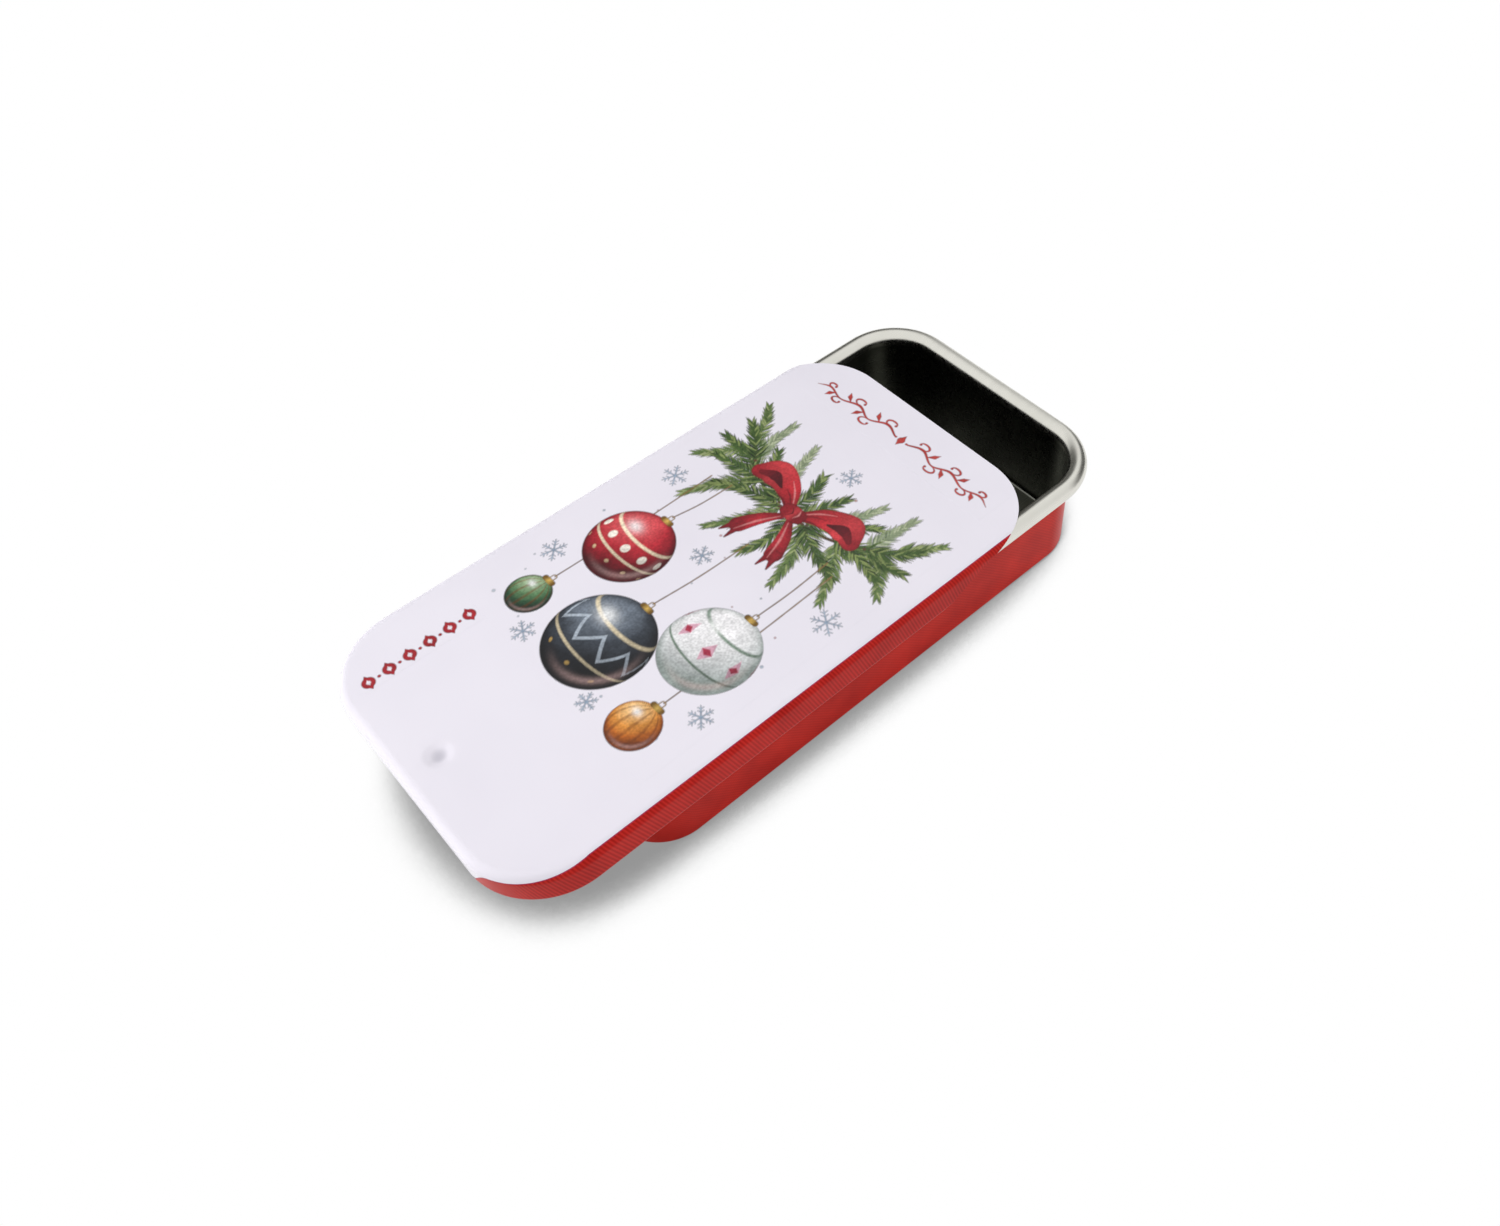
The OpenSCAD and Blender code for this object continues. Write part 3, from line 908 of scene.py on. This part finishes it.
def paint_lozenges():
    """A row of small dark red lozenges with dots between them."""
    canvas = Canvas(-12.15, -9.65, -28.5, -16.5, 0.06, 31)
    for i in range(6):
        v = -27.6 + 2.05 * i
        u = -10.75 - 0.045 * (v + 22)
        canvas.stroke([(u - 0.85, v), (u, v), (u + 0.85, v)], [0.02, 0.62, 0.02], ["#a3222b"], rim=0.15)
        canvas.stroke([(u - 0.3, v), (u, v), (u + 0.3, v)], [0.01, 0.2, 0.01], ["#e9e4ec"], washed=0)
        if i < 5:
            canvas.dot(u, v + 1.02, 0.16, "#a3222b")
    return canvas


def film(name, canvas, rows):
    """The printed film of some of a canvas's rows: a grid on top, a flat foot and a thin edge all round."""
    u, v = np.meshgrid(canvas.u, canvas.v[rows])
    top = np.stack([v + lid_middle_x, -u, np.full(u.shape, LID_TOP)], 2).reshape(-1, 3)
    grid = np.arange(u.size).reshape(u.shape)
    border = np.concatenate([grid[0, :-1], grid[:-1, -1], grid[-1, :0:-1], grid[:0:-1, 0]])
    under = np.arange(len(border)) + u.size
    ring, low_ring = np.append(border, border[0]), np.append(under, under[0])
    quads = np.stack([grid[:-1, 1:], grid[1:, 1:], grid[1:, :-1], grid[:-1, :-1]], 2)
    faces = quads.reshape(-1, 4).tolist() + strip(low_ring, ring) + [under.tolist()]
    made = add_object(name, np.concatenate([top, top[border] - [0, 0, INK]]), faces, WHITE)
    colours = np.ones((u.size + len(border), 4), np.float32)
    colours[:u.size, :3] = canvas.ink[rows].reshape(-1, 3)
    colours[u.size:, :3] = colours[border, :3]
    covers = canvas.cover[rows].ravel().astype(np.float32)
    ink = made.data.color_attributes.new("ink", "FLOAT_COLOR", "POINT")
    ink.data.foreach_set("color", colours.ravel())
    cover = made.data.attributes.new("cover", "FLOAT", "POINT")
    cover.data.foreach_set("value", np.concatenate([covers, covers[border]]))
    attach(made, "lid")


picture = paint_picture()
middle_row = len(picture.v) // 2
film("print_swag", picture, slice(middle_row, None))
film("print_baubles", picture, slice(0, middle_row + 1))
film("print_vine", paint_vine(), slice(None))
film("print_lozenges", paint_lozenges(), slice(None))


# The stage: a white table, a soft white room with a greyer back, and three soft lamps


def seen_rays(tree):
    """A socket that is 1 for what the camera sees, also mirrored or through glass, and 0 for light."""
    path = add(tree, "ShaderNodeLightPath").outputs
    seen = work_out(tree, "MAXIMUM", path["Is Camera Ray"], path["Is Glossy Ray"])
    return work_out(tree, "MAXIMUM", seen, path["Is Transmission Ray"])


def white_table():
    """Matt white table. Seen, it is white, with a neutral shadow where the tin closes off most of the room.

    The room is looked at with each of SHADOW_LEANS as the way up, so that the tin's ends and the lid's corner
    shade the table as much as its sides do, and the darkest look counts. It is done only within SHADOW_REACH
    of the tin's long axis.
    """
    material, tree, _ = new_finish("MattWhiteTable")
    tree.nodes.clear()
    matt = add(tree, "ShaderNodeBsdfDiffuse", {"Color": shade("#e7e7e7")})
    darkest = 1.0
    for lean in SHADOW_LEANS:
        up = add(tree, "ShaderNodeCombineXYZ", dict(enumerate(Vector(lean).normalized())))
        look = add(tree, "ShaderNodeAmbientOcclusion",
                   {"Distance": SHADOW_LOOK * MM, "Normal": up.outputs[0]}, samples=40)
        darkest = work_out(tree, "MINIMUM", look.outputs["AO"], darkest)
    level = rescale(tree, darkest, SHADOW_OPENNESS, (SHADOW_DARKEST, 1.0), "SMOOTHSTEP")
    shaded = add(tree, "ShaderNodeEmission", {"Color": shade("#ffffff"), "Strength": level})
    white = add(tree, "ShaderNodeEmission", {"Color": shade("#ffffff"), "Strength": 1.0})
    place = add(tree, "ShaderNodeSeparateXYZ", {0: add(tree, "ShaderNodeTexCoord").outputs["Object"]})
    across = work_out(tree, "ABSOLUTE", place.outputs["Y"])
    clear = work_out(tree, "GREATER_THAN", across, SHADOW_REACH * MM)
    seen = add(tree, "ShaderNodeMixShader", {0: clear, 1: shaded.outputs[0], 2: white.outputs[0]})
    mixed = add(tree, "ShaderNodeMixShader", {0: seen_rays(tree), 1: matt.outputs[0], 2: seen.outputs[0]})
    add(tree, "ShaderNodeOutputMaterial", {"Surface": mixed.outputs[0]})
    return material


def soft_lamp(name, centre, size, watts):
    """A square softbox of a size, centred on a point and facing the tin, both in millimetres.

    Gloss mirrors the white room and not the softbox, so that no bright square lies over the print.
    """
    light = bpy.data.lights.new(name, "AREA")
    light.shape = "SQUARE"
    light.size = size * MM
    light.energy = watts
    made = put_in(name, light)
    made.location = Vector(centre) * MM
    made.rotation_euler = (Vector(TIN_MIDDLE) - Vector(centre)).to_track_quat("-Z", "Y").to_euler()
    made.visible_glossy = False


def soft_room():
    """A white room. Gloss mirrors two greyer walls in it, with soft edges.

    A wall's share goes by the dot product of the direction and the wall's own, between two limits.
    """
    world = bpy.data.worlds.new("SoftRoom")
    bpy.context.scene.world = world
    world.use_nodes = True
    tree = world.node_tree
    tree.nodes.clear()
    direction = add(tree, "ShaderNodeTexCoord").outputs["Generated"]
    walls = []
    for facing in ROOM_WALLS:
        share = add(tree, "ShaderNodeVectorMath", {0: direction, 1: facing}, operation="DOT_PRODUCT")
        walls.append(rescale(tree, share.outputs["Value"], WALL_EDGE, way="SMOOTHSTEP"))
    glossy = add(tree, "ShaderNodeLightPath").outputs["Is Glossy Ray"]
    mirrored = work_out(tree, "MULTIPLY", work_out(tree, "MAXIMUM", *walls), glossy)
    colour = blend(tree, mirrored, "#ffffff", "#61615f")
    strength = add(tree, "ShaderNodeMix", {0: seen_rays(tree), 2: ROOM_LEVEL, 3: 1.0}, data_type="FLOAT")
    room = add(tree, "ShaderNodeBackground", {"Color": colour, "Strength": strength.outputs[0]})
    add(tree, "ShaderNodeOutputWorld", {"Surface": room.outputs[0]})


soft_room()

corners = TABLE_HALF * np.array([(-1, -1, 0), (1, -1, 0), (1, 1, 0), (-1, 1, 0)])
add_object("table", corners, [(0, 1, 2, 3)], white_table())

soft_lamp("softbox_above", (-115, -45, 440), 180, 0.46)
soft_lamp("softbox_left", (-250, 190, 150), 400, 1.08)
soft_lamp("softbox_front", (330, -270, 150), 450, 0.84)


# The camera


def photo_camera():
    """The camera at the photograph's angle, with the shift that its off-centre framing needs."""
    turn, rise, roll = np.radians([CAMERA_AZIMUTH, CAMERA_ELEVATION, CAMERA_ROLL])
    back = np.array([np.sin(turn) * np.cos(rise), -np.cos(turn) * np.cos(rise), np.sin(rise)])
    right = np.cross(-back, [0, 0, 1])
    right /= np.linalg.norm(right)
    up = np.cross(back, right)
    right, up = right * np.cos(roll) + up * np.sin(roll), up * np.cos(roll) - right * np.sin(roll)
    lens = bpy.data.cameras.new("photo_camera")
    lens.sensor_width = 36
    lens.lens = FOCAL_PIXELS / PHOTO_SIZE[0] * lens.sensor_width
    lens.shift_x = (PHOTO_SIZE[0] / 2 - AXIS_PIXEL[0]) / PHOTO_SIZE[0]
    lens.shift_y = (AXIS_PIXEL[1] - PHOTO_SIZE[1] / 2) / PHOTO_SIZE[0]
    lens.clip_start = 10 * MM
    lens.clip_end = 10
    made = put_in("photo_camera", lens)
    pose = Matrix((right, up, back)).transposed().to_4x4()
    pose.translation = Vector((np.array(CAMERA_TARGET) + back * CAMERA_DISTANCE) * MM)
    made.matrix_world = pose
    bpy.context.scene.camera = made


photo_camera()
bpy.context.scene.view_settings.view_transform = "Standard"
